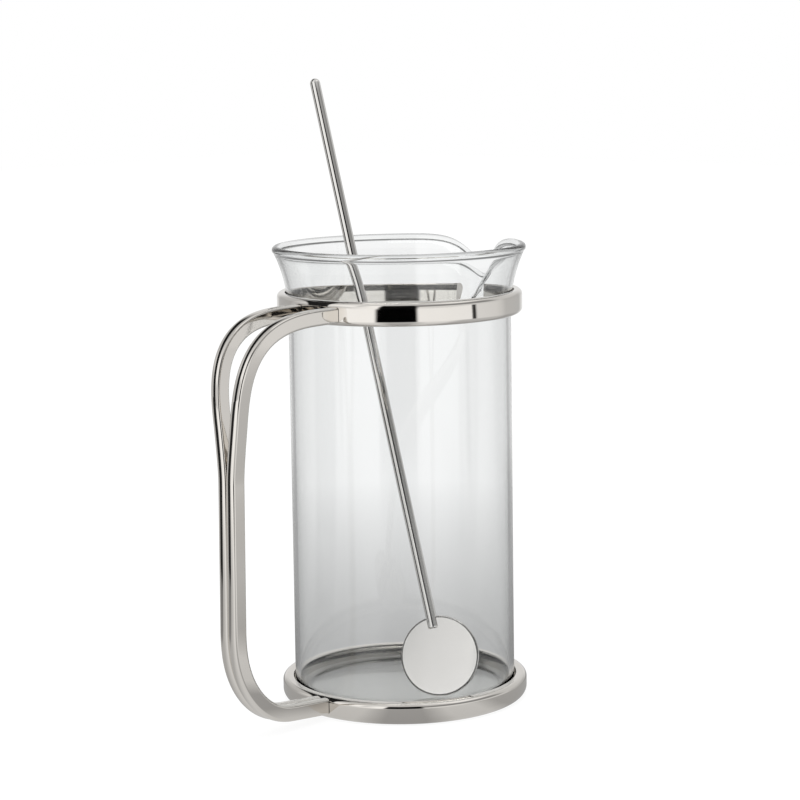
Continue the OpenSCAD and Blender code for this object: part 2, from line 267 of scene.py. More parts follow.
class Tree:
    """A Geometry Nodes tree that makes one piece from named sizes, in metres."""

    def __init__(self, name, sizes):
        self.sizes = sizes
        self.tree = bpy.data.node_groups.new(name, "GeometryNodeTree")
        face = self.tree.interface
        face.new_socket("Geometry", in_out="INPUT", socket_type="NodeSocketGeometry")
        self.ids = {}
        for key in sizes:
            self.ids[key] = face.new_socket(key, in_out="INPUT", socket_type="NodeSocketFloat").identifier
        face.new_socket("Geometry", in_out="OUTPUT", socket_type="NodeSocketGeometry")
        self.given = self.tree.nodes.new("NodeGroupInput")
        self.out = self.tree.nodes.new("NodeGroupOutput")

    def size(self, key):
        """The socket that gives one of the named sizes."""
        return self.given.outputs[key]

    def node(self, kind, inputs=None, **settings):
        """A node of that kind, with its settings and with its inputs by name or place."""
        made = self.tree.nodes.new(kind)
        for key, value in settings.items():
            setattr(made, key, value)
        for key, value in (inputs or {}).items():
            feed(self.tree, made.inputs[key], value)
        return made

    def math(self, operation, a, b):
        """The socket with the result of an operation on two numbers or sockets."""
        return self.node("ShaderNodeMath", {0: a, 1: b}, operation=operation).outputs[0]

    def made(self, name, geometry, material, start=None, sharp=None):
        """Ends the tree, runs it and returns its result as a plain mesh object."""
        real = self.node("GeometryNodeRealizeInstances", {"Geometry": geometry})
        smooth = self.node("GeometryNodeSetShadeSmooth", {"Geometry": real.outputs[0]})
        coat = self.node("GeometryNodeSetMaterial", {"Geometry": smooth.outputs[0], "Material": material})
        self.tree.links.new(coat.outputs[0], self.out.inputs[0])
        holder = bpy.data.objects.new(name + "_maker", start or bpy.data.meshes.new(name + "_start"))
        scene.collection.objects.link(holder)
        modifier = holder.modifiers.new("make", "NODES")
        modifier.node_group = self.tree
        for key, value in self.sizes.items():
            modifier[self.ids[key]] = value
        graph = bpy.context.evaluated_depsgraph_get()
        mesh = bpy.data.meshes.new_from_object(holder.evaluated_get(graph), preserve_all_data_layers=True,
                                               depsgraph=graph)
        holder.modifiers.remove(modifier)
        bpy.data.objects.remove(holder)
        mesh.name = name
        made = bmesh.new()
        made.from_mesh(mesh)
        bmesh.ops.remove_doubles(made, verts=made.verts, dist=MERGE_DISTANCE)
        bmesh.ops.recalc_face_normals(made, faces=made.faces)
        made.to_mesh(mesh)
        made.free()
        if sharp is not None:
            mesh.set_sharp_from_angle(angle=math.radians(sharp))
        piece = bpy.data.objects.new(name, mesh)
        scene.collection.objects.link(piece)
        return piece


# foot ring and collar

RING_STEPS = 320
OPEN_RING_STEPS = 300
EDGE_STEPS = 10


def band_sizes(whose, in_r, out_r, low_z, height, low_edge, edge, opening):
    """A band's sizes by the names of its tree's inputs; opening is half the angle of its gap, in degrees."""
    sizes = {"Inner radius": in_r * MM, "Outer radius": out_r * MM, "Height": height * MM, "Base": low_z * MM,
             "Upper edge": edge * MM, "Lower edge": low_edge * MM, "Inner edge": BAND_IN_EDGE * MM,
             "Opening": math.radians(opening)}
    return {whose + " " + key: value for key, value in sizes.items()}


def run_band(maker, whose, closed):
    """Nodes that run a flat band with rounded edges round the axis, from the sizes the tree has for it."""
    def size(key):
        """The socket with one of this band's sizes."""
        return maker.size(whose + " " + key)

    inner, outer = size("Inner radius"), size("Outer radius")
    width = maker.math("SUBTRACT", outer, inner)
    middle = maker.math("MULTIPLY", maker.math("ADD", outer, inner), 0.5)
    if closed:
        path = maker.node("GeometryNodeCurvePrimitiveCircle", {"Resolution": RING_STEPS, "Radius": middle},
                          mode="RADIUS").outputs["Curve"]
    else:
        sweep = maker.math("SUBTRACT", 2 * math.pi, maker.math("MULTIPLY", size("Opening"), 2.0))
        path = maker.node("GeometryNodeCurveArc", {
            "Resolution": OPEN_RING_STEPS, "Radius": middle,
            "Start Angle": size("Opening"), "Sweep Angle": sweep}, mode="RADIUS").outputs["Curve"]
    block = maker.node("GeometryNodeCurvePrimitiveQuadrilateral",
                       {"Width": width, "Height": size("Height")}, mode="RECTANGLE")
    place = maker.node("ShaderNodeSeparateXYZ", {0: maker.node("GeometryNodeInputPosition").outputs[0]})

    def below_zero(axis):
        """Whether a point of the section is on the low side of an axis."""
        return maker.node("FunctionNodeCompare", {"A": place.outputs[axis], "B": 0.0}, data_type="FLOAT",
                          operation="LESS_THAN").outputs[0]

    def either(test, yes, no):
        """One of two sizes, by a test."""
        return maker.node("GeometryNodeSwitch", {"Switch": test, "False": no, "True": yes},
                          input_type="FLOAT").outputs[0]

    outside = either(below_zero("Y"), size("Upper edge"), size("Lower edge"))
    edge = either(below_zero("X"), size("Inner edge"), outside)
    fillet = maker.node("GeometryNodeFilletCurve", {
        "Curve": block.outputs[0], "Count": EDGE_STEPS, "Radius": edge}, mode="POLY")
    swept = maker.node("GeometryNodeCurveToMesh", {"Curve": path, "Profile Curve": fillet.outputs[0],
                                                   "Fill Caps": True})
    lift = maker.math("ADD", size("Base"), maker.math("MULTIPLY", size("Height"), 0.5))
    offset = maker.node("ShaderNodeCombineXYZ", {"Z": lift})
    return maker.node("GeometryNodeTransform", {"Geometry": swept.outputs[0],
                                                "Translation": offset.outputs[0]}).outputs[0]


def rounded_band(name, in_r, out_r, low_z, height, low_edge, opening):
    """The foot ring or the collar; opening is half the angle of the collar's gap."""
    maker = Tree(name + "_tree", band_sizes("Band", in_r, out_r, low_z, height, low_edge, BAND_EDGE, opening))
    return maker.made(name, run_band(maker, "Band", not opening), nickel)


foot_ring = rounded_band("foot_ring_polished", FOOT_IN_R, FOOT_R, 0.0, FOOT_H, FOOT_LOW_EDGE, 0.0)
collar = rounded_band("collar_polished", COLLAR_IN_R, COLLAR_R, COLLAR_Z, COLLAR_H, BAND_EDGE, GAP_ANGLE)


# glass beaker

# how softly the spout's middle is rounded, as a share of its width, and how its width grows upwards
SPOUT_SOFT = 0.12
SPOUT_WIDENING = 1.5
# how much of the collar's gap the spout's root takes, and how far out the spout's curve is drawn
SPOUT_ROOM = 0.95
SPOUT_REACH = 0.95
SLOPE_STEP = 0.01
# how far up the flare the plain wall goes, before the bead takes over
BEAD_START = 0.95
CORNER_STEPS = 16
BODY_STEPS = 30
FLARE_STEPS = 30
BEAD_STEPS = 24
SPOUT_SECTIONS = 60
ROUND_SECTIONS = 200
# how closely the sections crowd towards the spout's middle
SECTION_POWER = 1.5


def width_angle(u):
    """Half the spout's width in degrees round the rim, u of the way up the flare."""
    return math.degrees((SPOUT_ROOT_W + (SPOUT_RIM_W - SPOUT_ROOT_W) * max(u, 0) ** SPOUT_WIDENING) / RIM_R)


def soft(angle):
    """How far round an angle is from the spout, rounded off where it passes through 0."""
    rounding = SPOUT_SOFT * width_angle(1)
    return math.sqrt(angle ** 2 + rounding ** 2) - rounding


def spout_bell(angle, u):
    """The spout's bell-shaped section round the rim: 1 in its middle, and small far from it."""
    return math.exp(-(soft(angle) / width_angle(u)) ** SPOUT_POWER)


def side_angle(u):
    """Where the spout ends: within the collar's gap up to the collar's upper edge, and wider above it."""
    root = SPOUT_ROOM * GAP_ANGLE
    return root + (SPOUT_SIDE - root) * max(0, u - COLLAR_SHARE) / (1 - COLLAR_SHARE)


def spout_share(angle, u):
    """How far the wall follows the spout: 1 in its middle, and exactly 0 from its side on."""
    side = side_angle(u)
    if abs(angle) >= side:
        return 0.0
    return (spout_bell(angle, u) - spout_bell(side, u)) / (1 - spout_bell(side, u))


LIP_R = RIM_R + SPOUT_OUT
LIP_Z = RIM_Z - SPOUT_DROP


def wall_point(angle, u):
    """Middle of the wall at an angle from the spout, u of the way from the flare's start to the rim."""
    plain = np.array([MID_R + FLARE_OUT * u ** 2, FLARE_Z + FLARE_H * u])
    a = np.array([MID_R, FLARE_Z])
    b = np.array([MID_R, FLARE_Z + SPOUT_ROOT])
    c = np.array([MID_R + SPOUT_REACH * (LIP_R - MID_R), FLARE_Z + SPOUT_ROOT])
    d = np.array([LIP_R, LIP_Z])
    spout = (1 - u) ** 3 * a + 3 * (1 - u) ** 2 * u * b + 3 * (1 - u) * u ** 2 * c + u ** 3 * d
    return plain + spout_share(angle, u) * (spout - plain)


def wall_slope(angle, u):
    """Which way the wall goes on upwards, as a direction of length 1."""
    if u <= 0:
        return np.array([0.0, 1.0])
    step = wall_point(angle, u + SLOPE_STEP) - wall_point(angle, u - SLOPE_STEP)
    return step / np.linalg.norm(step)


def beaker_profile(angle):
    """The glass's section at an angle from the spout, from under its floor to the top of its floor."""
    points = []
    for i in range(CORNER_STEPS + 1):
        a = math.pi / 2 * i / CORNER_STEPS
        points.append((BEAKER_R - CORNER_R + CORNER_R * math.sin(a),
                       max(BEAKER_Z + AIR_GAP, BEAKER_Z + CORNER_R - CORNER_R * math.cos(a))))
    for i in range(1, BODY_STEPS):
        points.append((BEAKER_R, BEAKER_Z + CORNER_R + (FLARE_Z - BEAKER_Z - CORNER_R) * i / BODY_STEPS))
    shares = [BEAD_START * i / FLARE_STEPS for i in range(FLARE_STEPS + 1)]
    for side, order in ((1, shares), (-1, shares[::-1])):
        for u in order:
            slope = wall_slope(angle, u)
            half = (WALL + FLARE_SWELL * u ** 4) / 2
            p = wall_point(angle, u) + side * half * np.array([slope[1], -slope[0]])
            points.append((p[0], p[1]))
        if side == 1:
            points += bead_profile(angle)
    inner = INSIDE_Z + INNER_CORNER_R
    for i in range(1, BODY_STEPS):
        points.append((BEAKER_R - WALL, FLARE_Z + (inner - FLARE_Z) * i / BODY_STEPS))
    for i in range(CORNER_STEPS + 1):
        a = math.pi / 2 * (1 - i / CORNER_STEPS)
        points.append((BEAKER_R - WALL - INNER_CORNER_R + INNER_CORNER_R * math.sin(a),
                       inner - INNER_CORNER_R * math.cos(a)))
    return points


def bead_profile(angle):
    """The rim's round bead at an angle from the spout, from the wall's outer face over to its inner face."""
    points = []
    slope = wall_slope(angle, 1)
    open_angle = math.asin((WALL + FLARE_SWELL) / (2 * BEAD_R))
    for i in range(BEAD_STEPS + 1):
        turn = open_angle + (2 * math.pi - 2 * open_angle) * i / BEAD_STEPS
        p = wall_point(angle, 1) + BEAD_R * (
            -math.cos(turn) * slope + math.sin(turn) * np.array([slope[1], -slope[0]]))
        points.append((p[0], p[1]))
    return points


def drawn_beaker():
    """The beaker as one closed skin, with sections close together across the spout."""
    angles = [SPOUT_SIDE * math.copysign(abs(i / SPOUT_SECTIONS) ** SECTION_POWER, i)
              for i in range(-SPOUT_SECTIONS, SPOUT_SECTIONS + 1)]
    angles += [SPOUT_SIDE + (360 - 2 * SPOUT_SIDE) * i / ROUND_SECTIONS for i in range(1, ROUND_SECTIONS)]
    loops = [beaker_profile(a) for a in angles]
    n, count = len(loops[0]), len(angles)
    points = []
    for a, loop in zip(angles, loops):
        c, s = math.cos(math.radians(a)), math.sin(math.radians(a))
        points += [(r * c, r * s, z) for r, z in loop]
    faces = [(j * n + k, j * n + k + 1, (j + 1) % count * n + k + 1, (j + 1) % count * n + k)
             for j in range(count) for k in range(n - 1)]
    points += [(0, 0, BEAKER_Z + AIR_GAP), (0, 0, INSIDE_Z)]
    below, above = count * n, count * n + 1
    for j in range(count):
        a, b = j * n, (j + 1) % count * n
        faces += [(below, a, b), (above, b + n - 1, a + n - 1)]
    return solid("glass_beaker_drawn", points, faces, glass)


beaker = drawn_beaker()


# handle bars

BAR_END_R = 56.6
LOW_IN, LOW_UP, LOW_POWER = 33.3, 45.5, 2.23
TOP_IN, TOP_DOWN, TOP_POWER = 48.5, 45.7, 2.9
REACH_LOW, REACH_TOP = 115.1, 113.8
BAR_LOW_Z, BAR_TOP_Z = 5.9, 192.2
RISE = 0.09
RISE_FROM_R = FOOT_IN_R + FOOT_PLAY
SPLIT_Z = 120.5
SPREAD = 11.4
EARLY = 1.54
EASE = 0.04
SPREAD_POWER = 1.3
# how near its farthest reach a point of the bar counts as on the grip
GRIP_NEAR = 2.0
LOW_BEND_STEPS = 61
TOP_BEND_STEPS = 71
BAR_STEP = 1.6
SECTION_STEP = 0.17
SECTION_EDGE_STEPS = 8
SHARP_ANGLE = 50.0
CUTTER_IN_R = 50.0


def bar_line():
    """The middle line of a bar as points of distance out and height, from the foot ring to the collar."""
    fade = LOW_UP * 2 / 3
    low, top = [], []
    for turn in np.linspace(0, math.pi / 2, LOW_BEND_STEPS):
        r = REACH_LOW - LOW_IN + LOW_IN * math.sin(turn) ** (2 / LOW_POWER)
        z = BAR_LOW_Z + LOW_UP - LOW_UP * max(0, math.cos(turn)) ** (2 / LOW_POWER)
        low.append((r, z + RISE * (r - RISE_FROM_R) * math.exp(-((z - BAR_LOW_Z) / fade) ** 2)))
    for turn in np.linspace(0, math.pi / 2, TOP_BEND_STEPS):
        top.append((REACH_TOP - TOP_IN + TOP_IN * max(0, math.cos(turn)) ** (2 / TOP_POWER),
                    BAR_TOP_Z - TOP_DOWN + TOP_DOWN * math.sin(turn) ** (2 / TOP_POWER)))
    first = (BAR_END_R, BAR_LOW_Z + RISE * (BAR_END_R - RISE_FROM_R))
    return np.array([first] + low + top + [(BAR_END_R, BAR_TOP_Z)])


def lengths_along(points):
    """How far along a line each of its points is."""
    gaps = np.linalg.norm(np.diff(points, axis=0), axis=1)
    return np.concatenate([[0], np.cumsum(gaps)])


def even(points, step):
    """The same line with its points evenly spaced."""
    along = lengths_along(points)
    marks = np.linspace(0, along[-1], int(round(along[-1] / step)) + 1)
    return np.stack([np.interp(marks, along, points[:, k]) for k in range(points.shape[1])], axis=1)


def bar_path(side):
    """A bar's middle line, which parts from the other bar's above SPLIT_Z, and the way out of its bend."""
    line = even(bar_line(), BAR_STEP)
    along = lengths_along(line)
    z = line[:, 1]
    grip = [i for i in range(len(z)) if line[i, 0] > REACH_TOP - GRIP_NEAR]
    split = float(np.interp(SPLIT_Z, [z[i] for i in grip], [along[i] for i in grip]))
    share = np.maximum(0, (along - split) / (along[-1] - split))
    u = share ** 2 * (1 + EASE) / (share + EASE)
    spread = BAR_W / 2 + (SPREAD - BAR_W / 2) * u ** SPREAD_POWER * (1 + EARLY * (1 - u))
    path = np.stack([-line[:, 0], side * spread, z], axis=1)
    ahead = np.gradient(path, axis=0)
    out = np.stack([-ahead[:, 2], np.zeros(len(z)), ahead[:, 0]], axis=1)
    out /= np.linalg.norm(out, axis=1)[:, None]
    return path, out


def crowned_section(maker):
    """Nodes for a bar's section: a rectangle with rounded edges, whose outer and inner faces swell."""
    flat = maker.math("SUBTRACT", maker.size("Depth"), maker.math("MULTIPLY", maker.size("Crown"), 2.0))
    block = maker.node("GeometryNodeCurvePrimitiveQuadrilateral",
                       {"Width": flat, "Height": maker.size("Width")}, mode="RECTANGLE")
    fillet = maker.node("GeometryNodeFilletCurve", {
        "Curve": block.outputs[0], "Count": SECTION_EDGE_STEPS, "Radius": maker.size("Edge")}, mode="POLY")
    fine = maker.node("GeometryNodeResampleCurve", {"Curve": fillet.outputs[0], "Length": SECTION_STEP * MM},
                      mode="LENGTH")
    place = maker.node("ShaderNodeSeparateXYZ", {0: maker.node("GeometryNodeInputPosition").outputs[0]})
    across = maker.math("DIVIDE", maker.math("MULTIPLY", place.outputs["Y"], 2.0), maker.size("Width"))
    fall = maker.math("SUBTRACT", 1.0, maker.math("MULTIPLY", across, across))
    swell = maker.math("MULTIPLY", maker.size("Crown"), fall)
    signed = maker.math("MULTIPLY", swell, maker.math("SIGN", place.outputs["X"], 0.0))
    shift = maker.node("ShaderNodeCombineXYZ", {"X": signed})
    return maker.node("GeometryNodeSetPosition", {"Geometry": fine.outputs[0], "Offset": shift.outputs[0]})


def handle_bar(name, side):
    """One bar of the handle: Geometry Nodes sweep its section along the bar's line, square to the bend, and
    cut its ends to the foot ring and the collar with a thin seam left open."""
    path, out = bar_path(side)
    start = bpy.data.meshes.new(name + "_line")
    start.from_pydata([tuple(p * MM) for p in path], [(i, i + 1) for i in range(len(path) - 1)], [])
    square = start.attributes.new("square_to_bend", "FLOAT_VECTOR", "POINT")
    square.data.foreach_set("vector", out.astype(np.float32).ravel())
    maker = Tree(name + "_tree", {
        "Width": BAR_W * MM, "Depth": BAR_D * MM, "Edge": BAR_EDGE * MM, "Crown": BAR_CROWN * MM,
        **band_sizes("Foot", CUTTER_IN_R, FOOT_R + SEAM, -SEAM, FOOT_H + 2 * SEAM, FOOT_LOW_EDGE + SEAM,
                     BAND_EDGE + SEAM, 0),
        **band_sizes("Collar", CUTTER_IN_R, COLLAR_R + SEAM, COLLAR_Z - SEAM, COLLAR_H + 2 * SEAM,
                     BAND_EDGE + SEAM, BAND_EDGE + SEAM, 0)})
    curve = maker.node("GeometryNodeMeshToCurve", {"Mesh": maker.size("Geometry")})
    square_field = maker.node("GeometryNodeInputNamedAttribute", {"Name": "square_to_bend"},
                              data_type="FLOAT_VECTOR")
    squared = maker.node("GeometryNodeSetCurveNormal", {
        "Curve": curve.outputs[0], "Normal": square_field.outputs[0]}, mode="FREE")
    crowned = crowned_section(maker)
    swept = maker.node("GeometryNodeCurveToMesh", {
        "Curve": squared.outputs[0], "Profile Curve": crowned.outputs[0], "Fill Caps": True})
    cut = maker.node("GeometryNodeMeshBoolean", {"Mesh 1": swept.outputs[0]}, operation="DIFFERENCE",
                     solver="MANIFOLD")
    for whose in ("Foot", "Collar"):
        maker.tree.links.new(run_band(maker, whose, True), cut.inputs["Mesh 2"])
    return maker.made(name, cut.outputs["Mesh"], nickel, start, sharp=SHARP_ANGLE)


bar_right = handle_bar("handle_bar_right_polished", -1)
bar_left = handle_bar("handle_bar_left_polished", 1)


# stirrer

LEAN_AZIMUTH = 72.1
LEAN_OFFSET = 2.3
FOOT_BACK = 36.9
DISC_TURN = -46.0
DISC_EDGE = DISC_T / 3
DISC_DOME = 0.2
# where the painted shade line round the disc's edge runs, as shares of the disc's radius, and how dark it is
DISC_EDGE_SHADE_LINE = [(0.945, 1.0), (0.958, 0.16), (0.972, 0.16), (0.985, 0.8)]
STIRRER_PLAY = 0.3
ROD_END_SOFT = 1.1
ROD_END_STEPS = 8
ROD_STEPS = 60
ROD_TIP_STEPS = 12
ROD_SIDES = 48
DISC_FACE_STEPS = 25
DISC_EDGE_STEPS = 15
DISC_SIDES = 160
POLE_R = 1e-6


def tilt_over(rise):
    """How far the rod leans, in radians, to lie on the rim that much above its foot."""
    run = math.sqrt(RIM_R ** 2 - LEAN_OFFSET ** 2) + FOOT_BACK
    return math.atan2(run, rise) - math.asin((BEAD_R + ROD_R + STIRRER_PLAY) / math.hypot(run, rise))


NEAR_TILT = tilt_over(RIM_Z - INSIDE_Z - STIRRER_PLAY - DISC_EDGE)
FACE_LEAN = math.cos(math.radians(DISC_TURN)) * math.sin(NEAR_TILT)
FOOT_POINT_Z = (INSIDE_Z + STIRRER_PLAY + DISC_EDGE - DISC_R * math.cos(NEAR_TILT)
                + (DISC_R - DISC_EDGE) * math.sqrt(1 - FACE_LEAN ** 2)
                + (DISC_T / 2 - DISC_EDGE) * abs(FACE_LEAN))
LEAN_TILT = tilt_over(RIM_Z - FOOT_POINT_Z)


def as_it_leans():
    """Places a stirrer piece that is drawn standing on Z with its disc in the YZ plane, in millimetres."""
    return (Matrix.Rotation(math.radians(LEAN_AZIMUTH), 4, "Z")
            @ Matrix.Translation((-FOOT_BACK, -LEAN_OFFSET, FOOT_POINT_Z))
            @ Matrix.Rotation(LEAN_TILT, 4, "Y")
            @ Matrix.Rotation(math.radians(DISC_TURN), 4, "Z")
            @ Matrix.Translation((0, 0, DISC_R)))


def turned(profile, steps):
    """Points and faces of a profile of (radius, height) turned round Z; a radius of 0 is a pole."""
    points, faces, rings = [], [], []
    for r, z in profile:
        if r < POLE_R:
            rings.append([len(points)])
            points.append((0, 0, z))
        else:
            rings.append([len(points) + k for k in range(steps)])
            points += [(r * math.cos(2 * math.pi * k / steps), r * math.sin(2 * math.pi * k / steps), z)
                       for k in range(steps)]
    for a, b in zip(rings, rings[1:]):
        for k in range(steps):
            q = (k + 1) % steps
            if len(a) == 1:
                faces.append((a[0], b[k], b[q]))
            elif len(b) == 1:
                faces.append((a[k], a[q], b[0]))
            else:
                faces.append((a[k], a[q], b[q], b[k]))
    return points, faces


def placed(points, matrix):
    """The points moved by a matrix."""
    return [tuple(matrix @ Vector(p)) for p in points]


def stirrer_rod():
    """Round rod with a domed tip and a softened lower end, slotted over the disc."""
    low = DISC_R - ROD_LAP
    high = ROD_L - ROD_R
    soft_r = ROD_END_SOFT
    profile = [(0, low)]
    profile += [(ROD_R - soft_r + soft_r * math.sin(t), low + soft_r - soft_r * math.cos(t))
                for t in np.linspace(0, math.pi / 2, ROD_END_STEPS)]
    profile += [(ROD_R, low + soft_r + (high - low - soft_r) * i / ROD_STEPS)
                for i in range(1, ROD_STEPS + 1)]
    profile += [(ROD_R * math.cos(t), high + ROD_R * math.sin(t))
                for t in np.linspace(0, math.pi / 2, ROD_TIP_STEPS)[1:-1]]
    profile += [(0, ROD_L)]
    points, faces = turned(profile, ROD_SIDES)
    return solid("stirrer_rod_polished", placed(points, as_it_leans()), faces, stirrer_nickel)


def paint_edge_shade(material, middle):
    """A painted line of shade round the disc's faces, where each face turns into the rounded edge."""
    tree = material.node_tree
    shader = next(node for node in tree.nodes if node.type == "BSDF_PRINCIPLED")
    tone = shader.inputs["Base Color"].links[0].from_socket
    coords = put(tree, "ShaderNodeTexCoord").outputs["Object"]
    reach = worked_out(tree, "ShaderNodeVectorMath", "DISTANCE", coords, middle * MM)
    share = put(tree, "ShaderNodeMapRange", Value=reach.outputs["Value"], From_Max=DISC_R * MM)
    line = ramp(tree, share.outputs["Result"], DISC_EDGE_SHADE_LINE)
    tree.links.new(mixed(tree, 1.0, tone, line, "MULTIPLY"), shader.inputs["Base Color"])


def stirrer_disc():
    """Stamped disc, faintly domed on both faces, with a rounded edge."""
    half = DISC_T / 2
    edge = half - DISC_DOME
    inner = DISC_R - edge
    face = [(inner * t, half - DISC_DOME * t ** 2) for t in np.linspace(0, 1, DISC_FACE_STEPS)]
    profile = [(r, -z) for r, z in face[:-1]]
    profile += [(inner + edge * math.sin(t), -edge * math.cos(t))
                for t in np.linspace(0, math.pi, DISC_EDGE_STEPS)]
    profile += face[-2::-1]
    points, faces = turned(profile, DISC_SIDES)
    stand = as_it_leans() @ Matrix.Rotation(math.pi / 2, 4, "Y")
    # a painted line of shade round the disc's edge
    paint_edge_shade(disc_nickel, as_it_leans().translation)
    return solid("stirrer_disc_polished", placed(points, stand), faces, disc_nickel)


rod = stirrer_rod()
disc = stirrer_disc()

for piece, node, body, slot in (
        (foot_ring, "foot_ring", "frame", "frame_metal"),
        (collar, "collar", "frame", "frame_metal"),
        (bar_right, "handle_bar_right", "frame", "frame_metal"),
        (bar_left, "handle_bar_left", "frame", "frame_metal"),
        (beaker, "glass_beaker", "beaker", "clear_glass"),
        (rod, "stirrer_rod", "stirrer", "stirrer_metal"),
        (disc, "stirrer_disc", "stirrer", "stirrer_metal")):
    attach(piece, body)
    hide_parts(node)

plate = frame["nodes"]["foot_plate"]
plate.data.materials.clear()
plate.data.materials.append(plate_metal)


# floor, surroundings, lamp and camera

CAMERA_SIDE = 222.2


def both_sides(tones):
    """Tones round the whole pitcher, from those to one side of the camera."""
    return [(-angle, tone) for angle, tone in tones[::-1]] + tones


# tones of the room as the metal mirrors it, by degrees to the right of the camera: low down, at the middle,
# high up and overhead
LOW_TONES = [
    (-180, 0.80), (-160, 0.75), (-150, 0.45), (-121, 0.42), (-117, 0.5), (-99, 0.5), (-97, 0.02),
    (-71, 0.02), (-69, 0.75), (-60, 1.0), (-23, 1.0), (-20.5, 0.0005), (14.5, 0.0005), (17, 0.95),
    (69, 0.9), (70.5, 0.03), (73.5, 0.03), (75, 0.74), (100, 0.70), (108, 0.64), (116, 0.52),
    (148, 0.48), (160, 0.75), (180, 0.80)]
MID_TONES = [
    (-180, 0.75), (-165, 0.72), (-150, 0.45), (-121, 0.42), (-117, 0.5), (-99, 0.5), (-97, 0.55),
    (-71, 0.55), (-69, 0.55), (-51, 0.68), (-37, 0.90), (-21, 1.0), (-18, 0.003), (15, 0.003),
    (18, 0.75), (69, 0.7), (75, 0.68), (108, 0.64), (116, 0.50), (148, 0.48), (165, 0.72), (180, 0.75)]
HIGH_TONES = [
    (-180, 0.70), (-165, 0.66), (-150, 0.5), (-121, 0.5), (-115, 0.65), (-97, 0.7), (-74, 0.85),
    (-55, 1.0), (-45, 1.0), (-40, 0.65), (-28, 1.0), (-20, 1.0), (-17, 0.001), (14, 0.001),
    (18, 0.25), (98, 0.27), (112, 0.6), (140, 0.6), (165, 0.66), (180, 0.70)]
TOP_TONES = [
    (-180, 0.5), (-100, 0.5), (-60, 0.75), (0, 0.55), (50, 0.6), (65, 0.9), (110, 0.9), (125, 0.6),
    (180, 0.5)]
# tones of the floor near the foot, as the metal mirrors it, with painted shade round the foot
NEAR_TONES = both_sides([
    (10, 0.5), (25, 0.85), (45, 0.85), (60, 0.55), (110, 0.55), (120, 0.4), (150, 0.4), (160, 0.55),
    (180, 0.55)])
# how light the room is where the glass shows it: light all round but for two dim openings
BEHIND_TONES = both_sides([(94, 0.92), (106, 0.45), (130, 0.45), (142, 0.80), (158, 1.0), (180, 1.0)])
# where round the floor a dark patch lies, as the metal mirrors it: none of it at 0, all of it at 1
PATCH_SIDE = [(-180, 0.0), (-99, 0.0), (-96, 1.0), (-72, 1.0), (-69, 0.0), (180, 0.0)]
PATCH_TONE = 0.02

# how the floor changes on its way out, by shares of FLOOR_SPAN in metres: its tone through the glass, a
# painted pool of shade that is darkest at the foot; its light as the metal mirrors it, also painted darker
# near the foot; and where the dark patch begins
FLOOR_SPAN = 1.4
SHADE_POOL_TONES = [(0.0, 0.1), (0.03, 0.1), (0.05, 0.45), (0.4, 0.9)]
NEAR_SHADE_FADE = [(0.0, 0.6), (0.2, 0.9), (0.4, 1.0)]
PATCH_START = [(0.13, 0.0), (0.19, 0.50), (0.31, 0.62), (0.35, 1.0)]
# a dark opening along the handle's side and overhead, by how far a direction goes along Y, and where it ends
# along X
STRIP_TONES = [(0.0, 1.0), (0.455, 1.0), (0.475, 0.02), (0.77, 0.02), (0.80, 1.0)]
STRIP_END = (0.35, 0.6)
# how far up a direction goes where the room's tones change to the high ones and to the overhead ones, and
# where the glass begins to show the dim room above
HIGH_START = (0.16, 0.30)
TOP_START = (0.60, 0.78)
DIM_START = (0.02, 0.16)
DIM_TONE = 0.18
# how far out in metres the floor takes on the tones of the room, through the glass and as mirrored
BEHIND_START = (0.5, 1.1)
SIDES_START = (0.45, 0.85)

STUDIO_STRENGTH = 1.08
WHITE_STRENGTH = 0.88
FLOOR_COLOUR = (0.16, 0.16, 0.16, 1)
SWEEP_HALF = 4.0


def round_share(tree, vector):
    """How far round a direction is, from 0 to 1: it starts opposite the camera, and goes right as the pitcher
    sees it."""
    turn = put(tree, "ShaderNodeVectorRotate", Vector=vector, Angle=-math.radians(CAMERA_SIDE))
    parts = put(tree, "ShaderNodeSeparateXYZ", Vector=turn.outputs[0])
    angle = worked_out(tree, "ShaderNodeMath", "ARCTAN2", parts.outputs["Y"], parts.outputs["X"])
    share = put(tree, "ShaderNodeMapRange", Value=angle.outputs[0], From_Min=-math.pi, From_Max=math.pi)
    return share.outputs[0]


def tones_round(tree, share, tones):
    """The tone of a table at a share of the way round."""
    return ramp(tree, share, [((angle + 180) / 360, float(tone)) for angle, tone in tones])


def colour(tone):
    """A colour from a grey; another node's socket stays as it is."""
    return tone if isinstance(tone, bpy.types.NodeSocket) else (tone, tone, tone, 1)


def blend(tree, value, low, high, first, second):
    """first while value is under low, second when it is over high, and a smooth change between."""
    step = put(tree, "ShaderNodeMapRange", Value=value, From_Min=low, From_Max=high)
    step.interpolation_type = "SMOOTHSTEP"
    return mixed(tree, step.outputs[0], colour(first), colour(second))


def was_mirrored(tree, rays):
    """1 for a ray that metal or glass has mirrored, also where it went on through glass after that."""
    return worked_out(tree, "ShaderNodeMath", "GREATER_THAN", rays.outputs["Glossy Depth"], 0.5).outputs[0]


